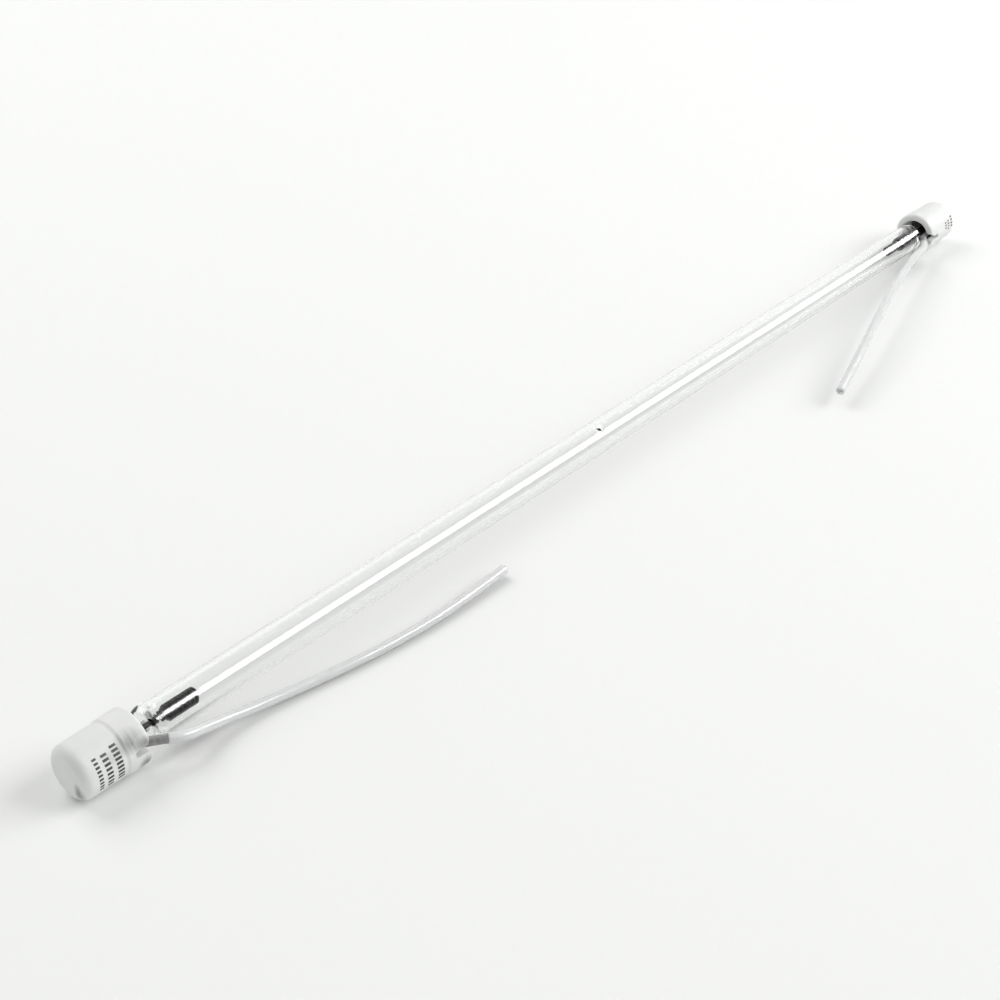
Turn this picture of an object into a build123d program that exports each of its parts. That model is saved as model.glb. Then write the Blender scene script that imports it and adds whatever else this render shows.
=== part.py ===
from build123d import *
import math
import os

# Linear xenon stroboscope tube: a quartz tube with a tungsten electrode at each end,
# closed by two slotted ceramic cups, with one insulated lead out of each cup.
# Millimetres. X runs along the lamp from the cathode end (-X) to the anode end (+X),
# Z is up, and the origin is on the surface that the lamp lies on, under its middle.

# Lamp and ceramic cups
OVERALL_LENGTH = 323.0
CUP_LENGTH = 15.0
COLLAR_LENGTH = 5.0
CUP_DIAMETER = 11.5
COLLAR_DIAMETER = 12.0
CUP_BORE = 8.2
CUP_BORE_DEPTH = 11.0
CUP_END_ROUND = 2.0
COLLAR_ROUND = 0.7
MOUTH_CHAMFER = 0.4
STEP_TAPER = 0.6
SLOT_DEPTH = 3.9
SLOT_CORNER = 1.8
SLOT_WIDTH = 1.3
NEAR_SLOT_ANGLE = 7.0
FAR_SLOT_ANGLE = 2.0

# Quartz tube
TUBE_DIAMETER = 8.0
TUBE_WALL = 1.0
TUBE_SETBACK = 3.6
DOME_LENGTH = 2.4
DOME_WALL = 2.0
BORE_CONE_LENGTH = 2.0
NECK_DIAMETER = 2.4
NECK_IN_CEMENT = 2.0
STEM_DIAMETER = 2.0
STEM_LENGTH = 1.4
TIP_POSITION = -8.5
TIP_ANGLE = 62.0
TIP_DIAMETER = 2.4
TIP_HEIGHT = 1.1

# Electrodes
ROD_DIAMETER = 1.0
CATHODE_REACH = 11.0
EMITTER_DIAMETER = 2.7
EMITTER_LENGTH = 7.6
EMITTER_CAP = 0.4
COIL_WIRE = 0.36
COIL_PITCH = 0.62
COIL_TURNS = 12
COIL_TAIL = 1.0
REAR_WIRE = 0.48
REAR_PITCH = 0.52
REAR_TURNS = 3
ANODE_REACH = 13.4
ANODE_HEAD_DIAMETER = 4.0
ANODE_TIP_DIAMETER = 2.6
ANODE_TIP_LENGTH = 6.6
ANODE_HEAD_LENGTH = 4.6
ANODE_CAP = 2.0
ANODE_EDGE = 0.35

# Cement, terminal strips and leads
CEMENT_DEPTH = 5.0
STRIP_THICKNESS = 0.6
STRIP_WIDTH = 2.0
STRIP_IN_CEMENT = 2.6
LEAD_DIAMETER = 2.2
LEAD_BORE = 1.1
CRIMP_DIAMETER = 1.4
CRIMP_STRAIGHT = 7.2
LEAD_OFFSET = 2.6
LEAD_END_RECESS = 0.7

# Clearances
FIT = 0.01
WIRE_FIT = 0.02
WIRE_FOOT = 0.1

AXIS_HEIGHT = COLLAR_DIAMETER / 2
HALF = OVERALL_LENGTH / 2
MOUTH = HALF - CUP_LENGTH
BORE_FLOOR = MOUTH + CUP_BORE_DEPTH
CEMENT_FACE = BORE_FLOOR - CEMENT_DEPTH
NECK_END = CEMENT_FACE + NECK_IN_CEMENT
STRIP_FACE = CEMENT_FACE + STRIP_IN_CEMENT
TUBE_END = MOUTH - TUBE_SETBACK
BORE_END = TUBE_END + DOME_LENGTH - DOME_WALL

# Routes of the leads' middle lines, as the leads lie: distance from the cup's mouth towards the
# lamp's middle, then Y and Z. Each insulation starts where the crimp ends.
CRIMP_ROUTE = [(1.2, -3.85, 6.05), (4.0, -5.35, 6.05)]
NEAR_ROUTE = [
    (6.8, -6.85, 6.05), (12.0, -6.6, 3.7), (19.5, -6.8, 2.0), (31.0, -8.9, 1.2), (49.0, -12.6, 1.12),
    (70.0, -15.0, 1.2), (88.7, -14.4, 1.8),
]
FAR_ROUTE = [
    (6.8, -6.85, 6.05), (14.0, -8.3, 6.6), (25.0, -11.1, 7.3), (42.0, -15.9, 7.8), (62.0, -22.0, 7.3),
    (79.0, -27.1, 5.8), (93.5, -31.0, 4.2),
]


def turned(points):
    """A solid of revolution about the lamp's axis from (distance along, radius) points."""
    outline = make_face(Polyline(*points, close=True))
    solid = revolve(Plane.XZ * outline, axis=Axis.X)
    return Pos(0, 0, AXIS_HEIGHT) * solid


def bar(start, end, diameter):
    """A round bar on the lamp's axis."""
    length = end - start
    solid = Cylinder(diameter / 2, length, align=(Align.CENTER, Align.CENTER, Align.MIN))
    return Pos(start, 0, AXIS_HEIGHT) * Rot(0, 90, 0) * solid


def at_far_end(solid):
    """The same solid at the other end of the lamp, with its slot on the same side."""
    return mirror(solid, about=Plane.YZ)


def slot_cutter(angle):
    """The narrow slot through the collar: round at its end, with widely rounded lips at the mouth."""
    half = SLOT_WIDTH / 2
    flare = half + SLOT_CORNER
    end = -SLOT_DEPTH + half
    outline = make_face(Polyline(
        (1, -flare), (1, flare), (0, flare), (-SLOT_CORNER, half), (end, half),
        (end, -half), (-SLOT_CORNER, -half), (0, -flare), close=True,
    ))
    outline += Pos(end, 0) * Circle(half)
    for side in (-1, 1):
        outline -= Pos(-SLOT_CORNER, side * flare) * Circle(SLOT_CORNER)
    cutter = extrude(Plane.XZ * outline, amount=COLLAR_DIAMETER)
    return Pos(-MOUTH, 0, AXIS_HEIGHT) * Rot(-angle, 0, 0) * cutter


def end_cup(slot_angle):
    """Ceramic cup: closed plain section, a soft step, then the slotted collar."""
    closed = -HALF
    step = -MOUTH - COLLAR_LENGTH
    plain = CUP_DIAMETER / 2
    collar = COLLAR_DIAMETER / 2
    bore = CUP_BORE / 2
    body = turned([
        (closed, 0), (closed, plain), (step - STEP_TAPER, plain), (step, collar),
        (-MOUTH, collar), (-MOUTH, bore), (-BORE_FLOOR, bore), (-BORE_FLOOR, 0),
    ])
    rings = body.edges().filter_by(GeomType.CIRCLE)
    body = fillet([e for e in rings if abs(e.center().X - closed) < 0.01], CUP_END_ROUND)
    rings = body.edges().filter_by(GeomType.CIRCLE)
    rim = [e for e in rings if abs(e.center().X + MOUTH) < 0.01 and e.radius > bore + 0.1]
    body = fillet(rim, COLLAR_ROUND)
    rings = body.edges().filter_by(GeomType.CIRCLE)
    lip = [e for e in rings if abs(e.center().X + MOUTH) < 0.01 and e.radius < bore + 0.1]
    body = chamfer(lip, MOUTH_CHAMFER)
    return body - slot_cutter(slot_angle)


def quarter(middle, across, up, start, size):
    """A quarter of an ellipse, from its start angle."""
    return EllipticalCenterArc(middle, across, up, start_angle=start, arc_size=size)


def quartz_envelope():
    """Tube drawn down to a neck on the rod at each end, with the pumping tip on its wall."""
    neck = NECK_DIAMETER / 2
    outer = TUBE_DIAMETER / 2
    inner = outer - TUBE_WALL
    stem = STEM_DIAMETER / 2
    rod = ROD_DIAMETER / 2 + FIT
    dome_end = TUBE_END + DOME_LENGTH
    bore_side = BORE_END - BORE_CONE_LENGTH
    stem_tip = BORE_END - STEM_LENGTH
    outline = Line((-TUBE_END, outer), (TUBE_END, outer))
    outline += quarter((TUBE_END, neck), DOME_LENGTH, outer - neck, 90, -90)
    outline += Polyline((dome_end, neck), (NECK_END, neck), (NECK_END, rod), (stem_tip, rod))
    outline += Polyline((stem_tip, rod), (stem_tip, stem), (BORE_END, stem))
    outline += Polyline((BORE_END, stem), (bore_side, inner), (-bore_side, inner), (-BORE_END, stem))
    outline += Polyline((-BORE_END, stem), (-stem_tip, stem), (-stem_tip, rod))
    outline += Polyline((-stem_tip, rod), (-NECK_END, rod), (-NECK_END, neck), (-dome_end, neck))
    outline += quarter((-TUBE_END, neck), DOME_LENGTH, outer - neck, 180, -90)
    body = Pos(0, 0, AXIS_HEIGHT) * revolve(Plane.XZ * make_face(outline), axis=Axis.X)
    return body + pumping_tip()


def pumping_tip():
    """The small pointed bead where the tube was pumped and sealed off."""
    base = TUBE_DIAMETER / 2 - TUBE_WALL / 2
    top = TUBE_DIAMETER / 2 + TIP_HEIGHT
    half = TIP_DIAMETER / 2
    point = 0.25
    side = Spline((half, TUBE_DIAMETER / 2), (half * 0.45, TUBE_DIAMETER / 2 + TIP_HEIGHT * 0.55), (point, top))
    outline = Wire([
        Line((0, base), (half, base)), Line((half, base), (half, TUBE_DIAMETER / 2)), side.edge(),
        Line((point, top), (0, top)), Line((0, top), (0, base)),
    ])
    bead = revolve(Plane.XZ * make_face(outline), axis=Axis.Z)
    return Pos(TIP_POSITION, 0, AXIS_HEIGHT) * Rot(90 - TIP_ANGLE, 0, 0) * bead


def lead_radii(route):
    """As large an arc at each corner as its two runs allow."""
    radii = []
    for a, b, c in zip(route, route[1:], route[2:]):
        first = Vector(*b) - Vector(*a)
        second = Vector(*c) - Vector(*b)
        turn = math.radians(first.get_angle(second))
        radii.append(0.45 * min(first.length, second.length) / math.tan(turn / 2))
    return radii


def wire_along(name, route, diameter):
    """A round wire along straight runs joined by tangent arcs."""
    route = [(-MOUTH + along, across, height) for along, across, height in route]
    radii = lead_radii(route)
    path = FilletPolyline(*route, radius=radii)
    first = Vector(*route[1]) - Vector(*route[0])
    solid = sweep(Plane(origin=route[0], z_dir=first) * Circle(diameter / 2), path=path)
    section = math.pi * diameter ** 2 / 4
    print(name, "radii", [round(r, 1) for r in radii], "smallest in diameters", round(min(radii) / diameter, 1))
    print("    length", round(path.length, 2), "volume ratio", round(solid.volume / section / path.length, 5))
    return solid


def insulation(name, route):
    """One lead's insulation from its crimp to the cut end, which shows the conductor set back."""
    route = [CRIMP_ROUTE[-1], *route]
    solid = wire_along(name, route, LEAD_DIAMETER)
    end = Vector(-MOUTH + route[-1][0], *route[-1][1:])
    before = Vector(-MOUTH + route[-2][0], *route[-2][1:])
    hollow = extrude(Plane(origin=end, z_dir=before - end) * Circle(LEAD_BORE / 2), amount=LEAD_END_RECESS)
    return solid - hollow


def terminal_strip():
    """Metal strip in the cement, with the electrode rod and the lead's crimp welded to it."""
    strip = Box(STRIP_THICKNESS, LEAD_OFFSET + STRIP_WIDTH, STRIP_WIDTH)
    return Pos(-STRIP_FACE - STRIP_THICKNESS / 2, -LEAD_OFFSET / 2, AXIS_HEIGHT) * strip


def crimp():
    """Crimp on the lead's conductor: from the strip through the cement and the mouth."""
    seat = MOUTH - STRIP_FACE
    inside = [(seat, -LEAD_OFFSET, AXIS_HEIGHT), (seat + CRIMP_STRAIGHT, -LEAD_OFFSET, AXIS_HEIGHT)]
    return wire_along("crimp", inside + CRIMP_ROUTE, CRIMP_DIAMETER)


def cap_cement():
    """Dark cement that fills the bottom of the cup round the neck, the strip and the wires."""
    plug = bar(-BORE_FLOOR, -CEMENT_FACE, CUP_BORE)
    plug -= bar(-NECK_END, -CEMENT_FACE, NECK_DIAMETER + 2 * FIT)
    plug -= bar(-STRIP_FACE, -NECK_END, ROD_DIAMETER + 2 * FIT)
    plug -= Pos(0, -LEAD_OFFSET, 0) * bar(-STRIP_FACE, -CEMENT_FACE, CRIMP_DIAMETER + 2 * FIT)
    return plug - terminal_strip()


def wound(start, turns, pitch, wire, core, tail):
    """Turns of wire round a core, each a ridge, with a short straight end along the lamp."""
    inner = core / 2 + WIRE_FIT
    foot = inner + WIRE_FOOT
    outer = inner + wire
    points = [(start, inner)]
    for turn in range(turns):
        along = start + turn * pitch
        points += [(along, foot), (along + wire / 2, outer), (along + wire, foot)]
    end = start + (turns - 1) * pitch + wire
    coil = turned([*points, (end, inner)])
    if tail:
        straight = Pos(0, 0, inner + wire / 2) * bar(end - wire / 2, end + tail, wire)
        coil += straight
    return coil


def cathode():
    """Tungsten rod with a wound emitter at its tip and a few turns against the seal."""
    tip = -TUBE_END + CATHODE_REACH
    emitter_start = tip - EMITTER_LENGTH
    rod = bar(-STRIP_FACE, tip - EMITTER_CAP, ROD_DIAMETER)
    emitter = bar(emitter_start, tip, EMITTER_DIAMETER)
    emitter -= bar(emitter_start, tip - EMITTER_CAP, ROD_DIAMETER + 2 * FIT)
    coil_length = (COIL_TURNS - 1) * COIL_PITCH + COIL_WIRE
    coil = wound(tip - coil_length, COIL_TURNS, COIL_PITCH, COIL_WIRE, EMITTER_DIAMETER, COIL_TAIL)
    rear_length = (REAR_TURNS - 1) * REAR_PITCH + REAR_WIRE
    rear = wound(emitter_start - rear_length, REAR_TURNS, REAR_PITCH, REAR_WIRE, ROD_DIAMETER, 0)
    return rod, emitter, coil, rear


def anode():
    """Tungsten rod carrying a turned head, wide at the back and narrower at the tip."""
    tip = TUBE_END - ANODE_REACH
    shoulder = tip + ANODE_TIP_LENGTH
    back = shoulder + ANODE_HEAD_LENGTH
    rod = bar(tip + ANODE_CAP, STRIP_FACE, ROD_DIAMETER)
    narrow = ANODE_TIP_DIAMETER / 2
    wide = ANODE_HEAD_DIAMETER / 2
    edge = ANODE_EDGE
    head = turned([
        (tip, 0), (tip, narrow - edge), (tip + edge, narrow), (shoulder, narrow),
        (shoulder, wide - edge), (shoulder + edge, wide), (back - edge, wide), (back, wide - edge), (back, 0),
    ])
    head -= bar(tip + ANODE_CAP, back, ROD_DIAMETER + 2 * FIT)
    return rod, head


def main():
    os.makedirs("parts", exist_ok=True)
    cathode_rod, cathode_emitter, cathode_coil, cathode_rear_coil = cathode()
    anode_rod, anode_head = anode()
    near_insulation = insulation("near lead", NEAR_ROUTE)
    far_insulation = at_far_end(insulation("far lead", FAR_ROUTE))
    conductor = crimp()
    cement = cap_cement()
    strip = terminal_strip()
    nodes = {
        "quartz_envelope": quartz_envelope(),
        "near_end_cup": end_cup(NEAR_SLOT_ANGLE),
        "far_end_cup": at_far_end(end_cup(FAR_SLOT_ANGLE)),
        "near_cup_cement": cement,
        "far_cup_cement": at_far_end(cement),
        "near_terminal_strip": strip,
        "far_terminal_strip": at_far_end(strip),
        "cathode_rod": cathode_rod,
        "cathode_emitter": cathode_emitter,
        "cathode_coil": cathode_coil,
        "cathode_rear_coil": cathode_rear_coil,
        "anode_rod": anode_rod,
        "anode_head": anode_head,
        "near_lead_insulation": near_insulation,
        "near_lead_conductor": conductor,
        "far_lead_insulation": far_insulation,
        "far_lead_conductor": at_far_end(conductor),
    }
    for name, solid in nodes.items():
        box = solid.bounding_box()
        print(name, "volume", round(solid.volume, 3), "solids", len(solid.solids()), "valid", solid.is_valid,
              "x", round(box.min.X, 2), round(box.max.X, 2), "z", round(box.min.Z, 2), round(box.max.Z, 2))
        export_step(solid, f"parts/{name}.step")


main()
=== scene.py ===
import math
import bmesh
import bpy
from mathutils import Matrix, Vector


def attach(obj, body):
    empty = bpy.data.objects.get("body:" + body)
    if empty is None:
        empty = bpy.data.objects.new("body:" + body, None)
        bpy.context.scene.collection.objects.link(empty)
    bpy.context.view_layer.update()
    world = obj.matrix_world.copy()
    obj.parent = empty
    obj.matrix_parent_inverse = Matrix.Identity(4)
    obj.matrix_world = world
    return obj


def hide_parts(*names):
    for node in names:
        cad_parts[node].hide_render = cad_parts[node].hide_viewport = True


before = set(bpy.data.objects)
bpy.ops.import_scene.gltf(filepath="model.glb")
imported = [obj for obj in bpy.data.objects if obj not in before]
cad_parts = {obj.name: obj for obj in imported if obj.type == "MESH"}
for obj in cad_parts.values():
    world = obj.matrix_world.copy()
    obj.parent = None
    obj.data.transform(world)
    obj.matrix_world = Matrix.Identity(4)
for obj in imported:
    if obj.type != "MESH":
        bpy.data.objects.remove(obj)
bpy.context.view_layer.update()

MM = 0.001
AXIS = 6.0
TUBE_RADIUS = 4.0
BORE_RADIUS = 3.0
ROD_BORE_RADIUS = 0.47
CUP_RADIUS = 5.75
TIP_X = -8.5
TIP_ANGLE = math.radians(118)
TIP_SPREAD = 1.4
TIP_RISE = 0.42
TIP_SINK = 0.08
LEAD_RADIUS = 1.1
LEAD_BORE_RADIUS = 0.62
WIRE_RADIUS = 0.5
WIRE_SET_BACK = 0.7
CRIMP_RADIUS = 0.68
SLEEVE_EXTRA = 0.26
SLEEVE_LENGTH = 5.6
MAX_TRAPPED_DEPTH = 6.5
SOFTBOX_FACE_STRENGTH = 17.0
FLOOR_REACH = 6.0
PLANE_CORNERS = ((-1, -1), (1, -1), (1, 1), (-1, 1))


def add_camera():
    data = bpy.data.cameras.new("camera")
    data.sensor_width = 36
    data.lens = 58.63
    data.clip_start = 0.01
    data.dof.use_dof = False
    camera = bpy.data.objects.new("camera", data)
    bpy.context.scene.collection.objects.link(camera)
    camera.location = (-0.27416, -0.19966, 0.20824)
    turn = math.radians(49.24)
    down = math.radians(33.51)
    forward = Vector((math.sin(turn) * math.cos(down), math.cos(turn) * math.cos(down), -math.sin(down)))
    camera.rotation_mode = "QUATERNION"
    camera.rotation_quaternion = forward.to_track_quat("-Z", "Y")
    bpy.context.scene.camera = camera


def new_material(name):
    material = bpy.data.materials.new(name)
    material.use_nodes = True
    tree = material.node_tree
    for old in list(tree.nodes):
        tree.nodes.remove(old)
    return material, tree


def node(tree, kind, inputs=None, **settings):
    made = tree.nodes.new(kind)
    for key, value in settings.items():
        setattr(made, key, value)
    for key, value in (inputs or {}).items():
        if isinstance(value, bpy.types.NodeSocket):
            tree.links.new(value, made.inputs[key])
        else:
            made.inputs[key].default_value = value
    return made


def ramp(tree, factor, stops):
    made = tree.nodes.new("ShaderNodeValToRGB")
    tree.links.new(factor, made.inputs[0])
    points = made.color_ramp.elements
    while len(points) > len(stops):
        points.remove(points[-1])
    while len(points) < len(stops):
        points.new(0.5)
    for point, (place, grey) in zip(points, stops):
        point.position = place
        colour = grey if isinstance(grey, tuple) else (grey, grey, grey)
        point.color = (*colour, 1)
    return made.outputs[0]


def noise_on(tree, place, scale, detail):
    return node(tree, "ShaderNodeTexNoise", {
        "Vector": place.outputs["Object"], "Scale": scale, "Detail": detail,
    })


def finish_material(tree, shader):
    out = tree.nodes.new("ShaderNodeOutputMaterial")
    tree.links.new(shader, out.inputs["Surface"])


def soft_shadow(tree, shader, passed):
    """Let a share of the light through to the surface below, as clear pieces do, and free trapped rays."""
    path = tree.nodes.new("ShaderNodeLightPath")
    shadow = node(tree, "ShaderNodeMath", {
        0: path.outputs["Is Shadow Ray"], 1: path.outputs["Is Diffuse Ray"],
    }, operation="MAXIMUM")
    trapped = node(tree, "ShaderNodeMath", {
        0: path.outputs["Ray Depth"], 1: MAX_TRAPPED_DEPTH,
    }, operation="GREATER_THAN")
    either = node(tree, "ShaderNodeMath", {0: shadow.outputs[0], 1: trapped.outputs[0]}, operation="MAXIMUM")
    clear = node(tree, "ShaderNodeBsdfTransparent", {"Color": (*passed, 1)})
    mix = tree.nodes.new("ShaderNodeMixShader")
    tree.links.new(either.outputs[0], mix.inputs[0])
    tree.links.new(shader, mix.inputs[1])
    tree.links.new(clear.outputs[0], mix.inputs[2])
    return mix.outputs[0]


# Painted shade: dark reflection patches on the cups' lower side towards the camera, each as (centre in mm,
# size in mm, strength).
PAINTED_SHADE_PATCHES = [
    ((-150.4, -4.6, 9.6), (3.4, 3.2, 2.6), 0.8),
    ((-148.2, -5.4, 8.0), (2.2, 1.6, 1.6), 0.9),
    ((-148.0, -5.6, 3.2), (2.0, 1.6, 2.6), 0.8),
    ((-154.5, -4.9, 9.2), (2.0, 2.0, 2.0), 0.25),
    ((-161.3, -3.2, 3.6), (1.6, 1.5, 2.8), 0.8),
]


def quartz_material():
    material, tree = new_material("quartz")
    place = node(tree, "ShaderNodeTexCoord")
    drawn = node(tree, "ShaderNodeMapping", {
        "Vector": place.outputs["Object"], "Scale": (25.0, 25.0, 25.0),
    })
    noise = node(tree, "ShaderNodeTexNoise", {"Vector": drawn.outputs[0], "Scale": 1.0, "Detail": 0.0})
    bump = node(tree, "ShaderNodeBump", {"Height": noise.outputs[0], "Strength": 0.02, "Distance": 0.0002})
    glass = node(tree, "ShaderNodeBsdfPrincipled", {
        "Base Color": (0.985, 0.99, 0.985, 1), "Roughness": 0.0, "IOR": 1.46, "Transmission Weight": 1.0,
        "Normal": bump.outputs[0],
    })
    finish_material(tree, soft_shadow(tree, glass.outputs[0], (0.92, 0.92, 0.92)))
    return material


def spot(tree, vector, place, size, inner, outer):
    """A soft spot that is 1 near a place on the object and 0 further off, with its own size each way."""
    away = node(tree, "ShaderNodeVectorMath", {0: vector, 1: [c * MM for c in place]}, operation="SUBTRACT")
    scaled = node(tree, "ShaderNodeVectorMath", {0: away.outputs[0], 1: [1 / (s * MM) for s in size]},
                  operation="MULTIPLY")
    far = node(tree, "ShaderNodeVectorMath", {0: scaled.outputs[0]}, operation="LENGTH")
    return ramp(tree, far.outputs["Value"], [(inner, 1.0), (outer, 0.0)])


def ceramic_material():
    material, tree = new_material("ceramic")
    place = node(tree, "ShaderNodeTexCoord")
    grain = noise_on(tree, place, 900.0, 4.0)
    cloud = noise_on(tree, place, 140.0, 3.0)
    colour = ramp(tree, cloud.outputs[0], [(0.3, (0.765, 0.775, 0.758)), (0.7, (0.81, 0.82, 0.803))])
    # Painted shade: streaked dark reflection patches mixed into the ceramic colour.
    shade_band_place = node(tree, "ShaderNodeMapping", {
        "Vector": place.outputs["Object"], "Scale": (1500.0, 180.0, 180.0),
    })
    shade_streak_noise = node(tree, "ShaderNodeTexNoise", {"Vector": shade_band_place.outputs[0], "Scale": 1.0, "Detail": 3.0})
    shade_streaks = ramp(tree, shade_streak_noise.outputs[0], [(0.35, 0.6), (0.65, 1.0)])
    for at, size, depth in PAINTED_SHADE_PATCHES:
        near = spot(tree, place.outputs["Object"], at, size, 0.25, 1.0)
        share = node(tree, "ShaderNodeMath", {0: near, 1: shade_streaks}, operation="MULTIPLY")
        share = node(tree, "ShaderNodeMath", {0: share.outputs[0], 1: depth}, operation="MULTIPLY")
        painted_shade = node(tree, "ShaderNodeMix", {0: share.outputs[0], 6: colour, 7: (0.09, 0.095, 0.09, 1)},
                       data_type="RGBA")
        colour = painted_shade.outputs[2]
    gloss = ramp(tree, grain.outputs[0], [(0.3, 0.5), (0.7, 0.66)])
    bump = node(tree, "ShaderNodeBump", {"Height": grain.outputs[0], "Strength": 0.12, "Distance": 0.0001})
    body = node(tree, "ShaderNodeBsdfPrincipled", {
        "Base Color": colour, "Roughness": gloss, "Normal": bump.outputs[0],
    })
    finish_material(tree, body.outputs[0])
    return material


def metal_material(name, dark, light, rough, scale):
    material, tree = new_material(name)
    place = node(tree, "ShaderNodeTexCoord")
    noise = noise_on(tree, place, scale, 5.0)
    colour = ramp(tree, noise.outputs[0], [(0.3, dark), (0.7, light)])
    gloss = ramp(tree, noise.outputs[0], [(0.3, rough + 0.12), (0.7, rough)])
    bump = node(tree, "ShaderNodeBump", {"Height": noise.outputs[0], "Strength": 0.15, "Distance": 0.0001})
    body = node(tree, "ShaderNodeBsdfPrincipled", {
        "Base Color": colour, "Metallic": 1.0, "Roughness": gloss, "Normal": bump.outputs[0],
    })
    finish_material(tree, body.outputs[0])
    return material


def cement_painted_shade_material():
    material, tree = new_material("cement")
    place = node(tree, "ShaderNodeTexCoord")
    noise = noise_on(tree, place, 1500.0, 6.0)
    # Painted shade: the near-black colour stands in for the shade inside the cup's mouth.
    colour = ramp(tree, noise.outputs[0], [(0.3, (0.02, 0.02, 0.02)), (0.7, (0.09, 0.085, 0.08))])
    bump = node(tree, "ShaderNodeBump", {"Height": noise.outputs[0], "Strength": 0.6, "Distance": 0.0003})
    body = node(tree, "ShaderNodeBsdfPrincipled", {
        "Base Color": colour, "Roughness": 0.85, "Normal": bump.outputs[0],
    })
    finish_material(tree, body.outputs[0])
    return material


def insulation_material():
    material, tree = new_material("insulation")
    place = node(tree, "ShaderNodeTexCoord")
    noise = noise_on(tree, place, 350.0, 3.0)
    colour = ramp(tree, noise.outputs[0], [(0.3, (0.9, 0.91, 0.905)), (0.7, (0.95, 0.955, 0.95))])
    gloss = ramp(tree, noise.outputs[0], [(0.3, 0.16), (0.7, 0.22)])
    bump = node(tree, "ShaderNodeBump", {"Height": noise.outputs[0], "Strength": 0.03, "Distance": 0.0001})
    body = node(tree, "ShaderNodeBsdfPrincipled", {
        "Base Color": colour, "Roughness": gloss, "IOR": 1.41, "Transmission Weight": 0.38,
        "Subsurface Weight": 0.3, "Subsurface Scale": 0.001, "Subsurface Radius": (1.0, 1.0, 1.0),
        "Normal": bump.outputs[0],
    })
    finish_material(tree, soft_shadow(tree, body.outputs[0], (0.6, 0.61, 0.61)))
    return material


def sleeve_material():
    material, tree = new_material("sleeve")
    place = node(tree, "ShaderNodeTexCoord")
    noise = noise_on(tree, place, 1200.0, 4.0)
    colour = ramp(tree, noise.outputs[0], [(0.3, 0.24), (0.7, 0.36)])
    bump = node(tree, "ShaderNodeBump", {"Height": noise.outputs[0], "Strength": 0.2, "Distance": 0.0001})
    body = node(tree, "ShaderNodeBsdfPrincipled", {
        "Base Color": colour, "Roughness": 0.42, "Metallic": 0.25, "Normal": bump.outputs[0],
    })
    finish_material(tree, body.outputs[0])
    return material


def ink_material():
    material, tree = new_material("ink")
    place = node(tree, "ShaderNodeTexCoord")
    noise = noise_on(tree, place, 2500.0, 4.0)
    colour = ramp(tree, noise.outputs[0], [(0.35, 0.03), (0.75, 0.1)])
    body = node(tree, "ShaderNodeBsdfPrincipled", {"Base Color": colour, "Roughness": 0.55})
    finish_material(tree, body.outputs[0])
    return material


NEAR_SLEEVE = [(-155.1, -2.6, 6.0), (-147.9, -2.6, 6.0), (-145.4, -4.0, 5.95), (-142.8, -5.8, 5.85)]
FAR_SLEEVE = [(155.1, -2.6, 6.0), (147.9, -2.6, 6.0), (145.3, -3.95, 6.05), (142.6, -5.6, 6.1)]
NEAR_POINTS = [
    (-142.8, -5.8, 5.85), (-140.2, -7.6, 5.75), (-134.5, -6.6, 3.7), (-127.0, -6.8, 2.0), (-115.5, -8.9, 1.2),
    (-97.5, -12.6, 1.12), (-76.5, -15.0, 1.2), (-57.8, -14.4, 1.8),
]
FAR_POINTS = [
    (142.6, -5.6, 6.1), (140.0, -7.19, 6.15), (132.5, -8.3, 6.6), (121.5, -11.1, 7.3), (104.5, -15.9, 7.8),
    (84.5, -22.0, 7.3), (67.5, -27.1, 5.8), (53.0, -31.0, 4.2),
]


def route_line(points, name):
    """Points along the smooth line that the lead follows, read from its NURBS spline."""
    curve = bpy.data.curves.new(name, "CURVE")
    curve.dimensions = "3D"
    curve.resolution_u = 16
    spline = curve.splines.new("NURBS")
    spline.points.add(len(points) - 1)
    for point, place in zip(spline.points, points):
        point.co = (*[c * MM for c in place], 1)
    spline.order_u = 3
    spline.use_endpoint_u = True
    holder = bpy.data.objects.new(name, curve)
    mesh = bpy.data.meshes.new_from_object(holder)
    line = [v.co.copy() for v in mesh.vertices]
    bpy.data.objects.remove(holder)
    bpy.data.curves.remove(curve)
    bpy.data.meshes.remove(mesh)
    return line


def part_of_line(line, start, end):
    """The stretch of a line between two distances along it, in metres."""
    kept = []
    run = 0.0
    for a, b in zip(line, line[1:]):
        step = (b - a).length
        for cut in (start, end):
            if run <= cut < run + step and (cut == start or kept):
                kept.append(a.lerp(b, (cut - run) / step))
        if start < run + step <= end:
            kept.append(b.copy())
        run += step
    clean = [kept[0]]
    for point in kept[1:]:
        if (point - clean[-1]).length > 1e-6:
            clean.append(point)
    return clean


def ring_frames(line):
    """An across and an up vector at each point, carried along the line without twist."""
    frames = []
    up = Vector((0, 0, 1))
    for i, point in enumerate(line):
        ahead = line[min(i + 1, len(line) - 1)] - line[max(i - 1, 0)]
        ahead.normalize()
        across = ahead.cross(up).normalized()
        up = across.cross(ahead).normalized()
        frames.append((point, across, up, ahead))
    return frames


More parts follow.
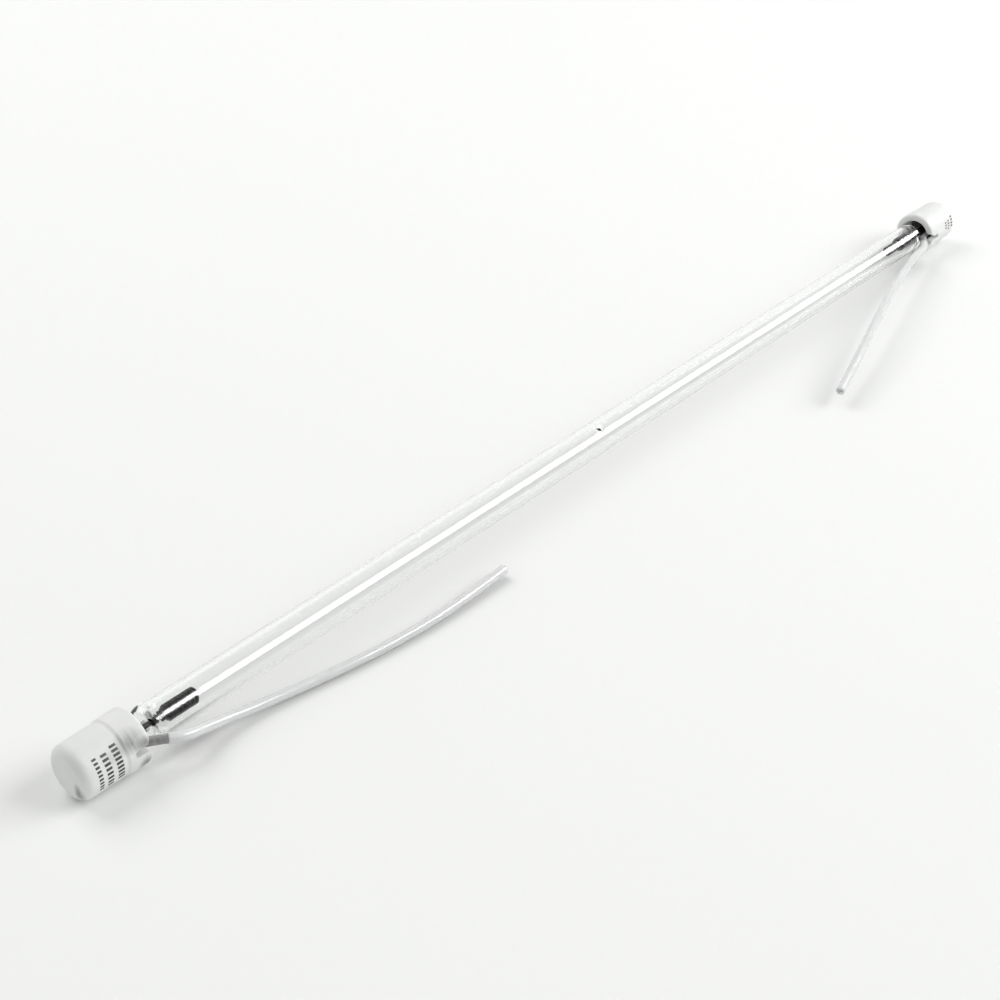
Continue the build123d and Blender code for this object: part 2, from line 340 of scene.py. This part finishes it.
def tube_mesh(name, line, radii, segments=28):
    """A closed mesh along a line: radii is a list of (inner, outer) for each point, inner 0 for a rod."""
    mesh = bmesh.new()
    frames = ring_frames(line)
    outer = []
    inner = []
    for k, (point, across, up, ahead) in enumerate(frames):
        small, large = radii[k] if isinstance(radii, list) else radii
        ring = []
        hole = []
        for i in range(segments):
            a = 2 * math.pi * i / segments
            out = across * math.cos(a) + up * math.sin(a)
            ring.append(mesh.verts.new(point + out * large))
            if small:
                hole.append(mesh.verts.new(point + out * small))
        outer.append(ring)
        inner.append(hole)
    for rings, flip in ((outer, False), (inner, True)):
        if not rings[0]:
            continue
        for a, b in zip(rings, rings[1:]):
            for i in range(segments):
                j = (i + 1) % segments
                quad = [a[i], a[j], b[j], b[i]]
                mesh.faces.new(quad[::-1] if flip else quad)
    for end, flip in ((0, True), (-1, False)):
        if inner[end]:
            for i in range(segments):
                j = (i + 1) % segments
                quad = [outer[end][i], outer[end][j], inner[end][j], inner[end][i]]
                mesh.faces.new(quad[::-1] if flip else quad)
        else:
            mesh.faces.new(outer[end][::-1] if flip else outer[end])
    bmesh.ops.recalc_face_normals(mesh, faces=mesh.faces)
    return to_object(name, mesh)


def to_object(name, mesh, angle=40):
    data = bpy.data.meshes.new(name)
    mesh.to_mesh(data)
    mesh.free()
    piece = bpy.data.objects.new(name, data)
    bpy.context.scene.collection.objects.link(piece)
    data.polygons.foreach_set("use_smooth", [True] * len(data.polygons))
    data.set_sharp_from_angle(angle=math.radians(angle))
    return piece


def place_piece(piece, material):
    piece.data.materials.clear()
    piece.data.materials.append(material)
    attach(piece, "root")
    return piece


def line_length(line):
    return sum((b - a).length for a, b in zip(line, line[1:]))


def add_sleeve(side, points, material):
    """The crimp with its grey sleeve: narrow inside the cup, and a flat ring at its outer end."""
    line = route_line(points, side + "_sleeve_route")
    total = line_length(line)
    radii = []
    run = 0.0
    for i, point in enumerate(line):
        if i:
            run += (point - line[i - 1]).length
        left = (total - run) / MM
        grown = max(0.0, min(1.0, (SLEEVE_LENGTH - left) / 1.2))
        radii.append((0, (CRIMP_RADIUS + SLEEVE_EXTRA * grown) * MM))
    sleeve = tube_mesh(side + "_lead_sleeve", line, radii, segments=24)
    place_piece(sleeve, material)
    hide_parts(side + "_lead_conductor")
    return sleeve


def add_lead(side, sleeve_points, points, materials):
    line = route_line(points, side + "_route")
    length = line_length(line)
    shell = tube_mesh(side + "_lead_tube", line, (LEAD_BORE_RADIUS * MM, LEAD_RADIUS * MM))
    place_piece(shell, materials["insulation"])
    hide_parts(side + "_lead_insulation")
    core_line = part_of_line(line, 0.0, length - WIRE_SET_BACK * MM)
    core = tube_mesh(side + "_lead_wire", core_line, (0, WIRE_RADIUS * MM), segments=20)
    place_piece(core, materials["conductor"])
    pieces = [core, add_sleeve(side, sleeve_points, materials["sleeve"])]


def quarter_line(x, r, along, across, steps):
    """Points of a rounded corner, from its flat start to its end, as (along, radius)."""
    points = []
    for i in range(steps + 1):
        a = math.pi / 2 * i / steps
        points.append((x + along * math.sin(a) ** 0.9, r + across * math.cos(a) ** 0.8))
    return points


def envelope_rings():
    """Outer line of the quartz from end to end, then its inner line, as (along, radius, is inner)."""
    outer = [(x, TUBE_RADIUS) for x in (0.0, 40.0, 90.0, 130.0, 141.0)]
    outer += quarter_line(142.7, 1.25, 2.6, 2.75, 14)
    outer += [(x, 1.2) for x in (145.9, 147.0, 150.0, 154.5)]
    inner = [(x, ROD_BORE_RADIUS) for x in (154.5, 150.0, 145.0, 142.4)]
    inner += [(141.7, 0.5), (141.6, 0.62), (141.8, 0.78)]
    inner += reversed(quarter_line(140.5, 0.86, 2.4, 2.14, 12))
    inner += [(x, BORE_RADIUS) for x in (139.0, 120.0, 80.0, 30.0)]
    tip = [TIP_X + 0.12 * k for k in range(-14, 15)]
    near = [(-x, r, False) for x, r in reversed(outer[1:])]
    far = [(x, r, False) for x, r in outer]
    line = near + [(x, TUBE_RADIUS, False) for x in tip] + far
    line += [(x, r, True) for x, r in inner] + [(x, BORE_RADIUS, True) for x in reversed(tip)]
    line += [(-x, r, True) for x, r in reversed(inner)]
    return line


def envelope_radius(x, r, a, hidden):
    """The radius there: uneven glass at both drawn ends, and the sealed tip where it was pumped."""
    ends = max(0.0, min(1.0, (abs(x) - 140.2) / 1.6)) * max(0.0, min(1.0, (147.2 - abs(x)) / 1.2))
    turn = 0.8 if x > 0 else 0.0
    lumps = 0.5 * math.sin(3 * a + 1.1 * x + turn)
    lumps += 0.35 * math.sin(5 * a - 2.3 * x) + 0.3 * math.sin(2 * a + 4 * x)
    r *= 1 + ends * (0.05 if hidden else 0.035) * lumps
    round_it = TUBE_RADIUS * ((a - TIP_ANGLE + math.pi) % (2 * math.pi) - math.pi)
    away = math.hypot(x - TIP_X - 0.2 * round_it, round_it) / TIP_SPREAD
    if away < 1:
        r += (TIP_SINK if hidden else TIP_RISE) * (0.5 + 0.5 * math.cos(math.pi * away))
    return r


def quartz_envelope(material, segments=256):
    mesh = bmesh.new()
    rings = []
    for x, r, hidden in envelope_rings():
        ring = []
        for i in range(segments):
            a = 2 * math.pi * i / segments
            at = envelope_radius(x, r, a, hidden) if r > 0.5 else r
            ring.append(mesh.verts.new(Vector((x, at * math.cos(a), AXIS + at * math.sin(a))) * MM))
        rings.append(ring)
    for one, two in zip(rings, rings[1:] + rings[:1]):
        for i in range(segments):
            j = (i + 1) % segments
            mesh.faces.new((one[i], one[j], two[j], two[i]))
    bmesh.ops.recalc_face_normals(mesh, faces=mesh.faces)
    piece = place_piece(to_object("quartz_tube", mesh, 70), material)
    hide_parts("quartz_envelope")


def winding(name, start, turns, pitch, wire, middle, tail, material, phase=0.0, per_turn=36, around=12):
    """Round wire in close turns, with an uneven hand-made pitch and a straight end."""
    line = []
    for i in range(int(turns * per_turn) + 1):
        t = i / per_turn
        a = 2 * math.pi * t + phase
        r = middle * (1 + 0.012 * math.sin(3.1 * t) + 0.008 * math.sin(1.3 * t + 1))
        x = start + pitch * t + 0.05 * wire * math.sin(2.3 * t)
        line.append(Vector((x, r * math.cos(a), AXIS + r * math.sin(a))) * MM)
    if tail:
        last = line[-1]
        for k in range(1, 7):
            line.append(last + Vector((tail * k / 6, -0.02 * k, 0.015 * k)) * MM)
    mesh = bmesh.new()
    rings = []
    for i, point in enumerate(line):
        ahead = (line[min(i + 1, len(line) - 1)] - line[max(i - 1, 0)]).normalized()
        out = point - Vector((point.x, 0, AXIS * MM))
        out.normalize()
        side = ahead.cross(out).normalized()
        out = side.cross(ahead).normalized()
        ring = []
        for k in range(around):
            a = 2 * math.pi * k / around
            ring.append(mesh.verts.new(point + (out * math.cos(a) + side * math.sin(a)) * wire / 2 * MM))
        rings.append(ring)
    for a, b in zip(rings, rings[1:]):
        for k in range(around):
            j = (k + 1) % around
            mesh.faces.new((a[k], a[j], b[j], b[k]))
    mesh.faces.new(rings[0][::-1])
    mesh.faces.new(rings[-1])
    bmesh.ops.recalc_face_normals(mesh, faces=mesh.faces)
    piece = to_object(name, mesh, 60)
    return place_piece(piece, material)


def curved_patch(mesh, x0, x1, a0, a1, radius, steps=6):
    """A thin raised bar on a round surface, between two places along it and two angles."""
    thick = 0.012
    grid = []
    for i in range(steps + 1):
        a = math.radians(a0 + (a1 - a0) * i / steps)
        row = []
        for x in (x0, x1):
            for r in (radius - 0.02, radius + thick):
                y = -r * math.cos(a)
                z = AXIS + r * math.sin(a)
                row.append(mesh.verts.new(Vector((x, y, z)) * MM))
        grid.append(row)
    for low, high in zip(grid, grid[1:]):
        mesh.faces.new((low[1], low[3], high[3], high[1]))
        mesh.faces.new((low[0], high[0], high[2], low[2]))
        mesh.faces.new((low[0], low[1], high[1], high[0]))
        mesh.faces.new((low[2], high[2], high[3], low[3]))
    mesh.faces.new((grid[0][0], grid[0][2], grid[0][3], grid[0][1]))
    mesh.faces.new((grid[-1][0], grid[-1][1], grid[-1][3], grid[-1][2]))


def add_marks(name, rows, radius, material):
    """Rows of plain tick bars round a cup: each row is (along, height, first, last, step, thickness)."""
    mesh = bmesh.new()
    for along, height, first, last, step, thick in rows:
        count = int(abs(last - first) / step)
        for i in range(count + 1):
            a = first + (last - first) * i / count
            curved_patch(mesh, along, along + height, a - thick / 2, a + thick / 2, radius, 2)
    bmesh.ops.recalc_face_normals(mesh, faces=mesh.faces)
    piece = to_object(name, mesh)
    return place_piece(piece, material)


def add_stage_plane(name, corners, material):
    mesh = bmesh.new()
    mesh.faces.new([mesh.verts.new(corner) for corner in corners])
    data = bpy.data.meshes.new(name)
    mesh.to_mesh(data)
    mesh.free()
    plane = bpy.data.objects.new(name, data)
    bpy.context.scene.collection.objects.link(plane)
    data.materials.append(material)
    return plane


def add_floor():
    material, tree = new_material("floor")
    body = node(tree, "ShaderNodeBsdfPrincipled", {
        "Base Color": (0.925, 0.935, 0.92, 1), "Roughness": 0.9, "Specular IOR Level": 0.1,
    })
    finish_material(tree, body.outputs[0])
    add_stage_plane("floor", [(x * FLOOR_REACH, y * FLOOR_REACH, 0) for x, y in PLANE_CORNERS], material)


def add_lamp(name, place, target, size, power):
    data = bpy.data.lights.new(name, "AREA")
    data.shape = "RECTANGLE"
    data.size, data.size_y = size
    data.energy = power
    lamp = bpy.data.objects.new(name, data)
    bpy.context.scene.collection.objects.link(lamp)
    lamp.location = place
    lamp.rotation_mode = "QUATERNION"
    lamp.rotation_quaternion = (Vector(target) - Vector(place)).to_track_quat("-Z", "Y")
    return lamp


def add_softbox(name, near, far, length, width, power):
    """A long softbox between two places, turned to face the lamp."""
    near = Vector(near)
    far = Vector(far)
    middle = (near + far) / 2
    along = (far - near).normalized()
    back = (middle - along * middle.dot(along)).normalized()
    across = back.cross(along).normalized()
    softbox = add_lamp(name, middle, (0, 0, 0), (length, width), power)
    turn = Matrix((along, across, back)).transposed()
    softbox.rotation_quaternion = turn.to_quaternion()
    add_softbox_face(middle + back * 0.01, along * length / 2, across * width * 0.28)


def add_softbox_face(middle, along, across):
    """The softbox's white face, seen only in gloss and through glass; diffuse rays pass it by."""
    material, tree = new_material("softbox_face")
    shine = node(tree, "ShaderNodeEmission", {"Color": (1, 1, 1, 1), "Strength": SOFTBOX_FACE_STRENGTH})
    finish_material(tree, shine.outputs[0])
    material.cycles.emission_sampling = "NONE"
    corners = [middle + along * i + across * j for i, j in PLANE_CORNERS]
    face = add_stage_plane("softbox_face", corners, material)
    face.visible_camera = False
    face.visible_diffuse = False
    face.visible_shadow = False


def studio_seen(tree):
    """What glass and metal show of the studio: a white sweep low behind, darker above and in front."""
    place = node(tree, "ShaderNodeTexCoord")
    way = node(tree, "ShaderNodeSeparateXYZ", {0: place.outputs["Generated"]})
    low = ramp(tree, way.outputs["Z"], [(0.55, 1.0), (0.74, 0.0)])
    lifted = node(tree, "ShaderNodeMath", {0: way.outputs["Y"], 1: 0.5, 2: 0.5}, operation="MULTIPLY_ADD")
    behind = ramp(tree, lifted.outputs[0], [(0.42, 0.0), (0.56, 1.0)])
    sweep = node(tree, "ShaderNodeMath", {0: low, 1: behind}, operation="MULTIPLY")
    return ramp(tree, sweep.outputs[0], [(0.0, 0.12), (1.0, 1.0)])


def add_light():
    world = bpy.data.worlds.new("world")
    bpy.context.scene.world = world
    world.use_nodes = True
    tree = world.node_tree
    for item in list(tree.nodes):
        tree.nodes.remove(item)
    plain = node(tree, "ShaderNodeBackground", {"Color": (1, 1, 1, 1), "Strength": 0.47})
    seen = node(tree, "ShaderNodeBackground", {"Color": studio_seen(tree), "Strength": 1.0})
    path = tree.nodes.new("ShaderNodeLightPath")
    share = path.outputs["Is Camera Ray"]
    for other in ("Is Glossy Ray", "Is Transmission Ray"):
        either = node(tree, "ShaderNodeMath", {0: share, 1: path.outputs[other]}, operation="MAXIMUM")
        share = either.outputs[0]
    mix = node(tree, "ShaderNodeMixShader", {0: share, 1: plain.outputs[0], 2: seen.outputs[0]})
    out = tree.nodes.new("ShaderNodeOutputWorld")
    tree.links.new(mix.outputs[0], out.inputs["Surface"])
    add_softbox("softbox", (0.45, -0.88, 0.957), (1.475, -0.636, 0.636), 1.3, 0.8, 13.5)
    add_lamp("back_lamp", (-0.1, 1.0, 1.1), (0, 0, 0), (0.9, 0.9), 8.0)
    scene = bpy.context.scene
    scene.view_settings.view_transform = "Standard"


def dress_nodes(materials):
    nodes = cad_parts
    wanted = {
        "near_end_cup": "ceramic", "far_end_cup": "ceramic",
        "near_cup_cement": "cement", "far_cup_cement": "cement",
        "near_terminal_strip": "strip", "far_terminal_strip": "strip",
        "cathode_rod": "tungsten", "cathode_emitter": "tungsten", "anode_rod": "tungsten",
        "anode_head": "anode",
    }
    for name, kind in wanted.items():
        piece = nodes[name]
        piece.data.materials.clear()
        piece.data.materials.append(materials[kind])


def main():
    add_camera()
    materials = {
        "quartz": quartz_material(),
        "ceramic": ceramic_material(),
        "cement": cement_painted_shade_material(),
        "tungsten": metal_material("tungsten", (0.035, 0.035, 0.035), (0.1, 0.1, 0.1), 0.3, 1400.0),
        "anode": metal_material("anode", (0.03, 0.03, 0.03), (0.08, 0.08, 0.08), 0.32, 900.0),
        "strip": metal_material("strip", (0.4, 0.4, 0.39), (0.55, 0.55, 0.54), 0.3, 800.0),
        "conductor": metal_material("conductor", (0.62, 0.62, 0.63), (0.78, 0.78, 0.79), 0.4, 1600.0),
        "sleeve": sleeve_material(),
        "insulation": insulation_material(),
        "ink": ink_material(),
    }
    add_lead("near", NEAR_SLEEVE, NEAR_POINTS, materials)
    add_lead("far", FAR_SLEEVE, FAR_POINTS, materials)
    dress_nodes(materials)
    quartz_envelope(materials["quartz"])
    coil = winding("cathode_winding", -139.08, 12.0, 0.595, 0.5, 1.48, 1.0, materials["tungsten"], 2.2)
    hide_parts("cathode_coil")
    rear = winding("cathode_rear_winding", -140.78, 2.0, 0.52, 0.48, 0.76, 0.0, materials["tungsten"])
    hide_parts("cathode_rear_coil")
    add_marks("near_cup_marks", [
        (-158.4, 0.9, -22, 44, 7.5, 4.6), (-156.6, 1.3, -24, 42, 9.0, 5.2), (-154.3, 1.4, -22, 48, 8.5, 5.2),
    ], CUP_RADIUS, materials["ink"])
    add_marks("far_cup_marks", [
        (158.6, 1.0, 4, 32, 9.0, 5.0), (156.9, 0.9, 0, 24, 8.0, 4.0), (155.3, 0.9, 6, 22, 8.0, 4.0),
    ], CUP_RADIUS, materials["ink"])
    add_floor()
    add_light()


main()
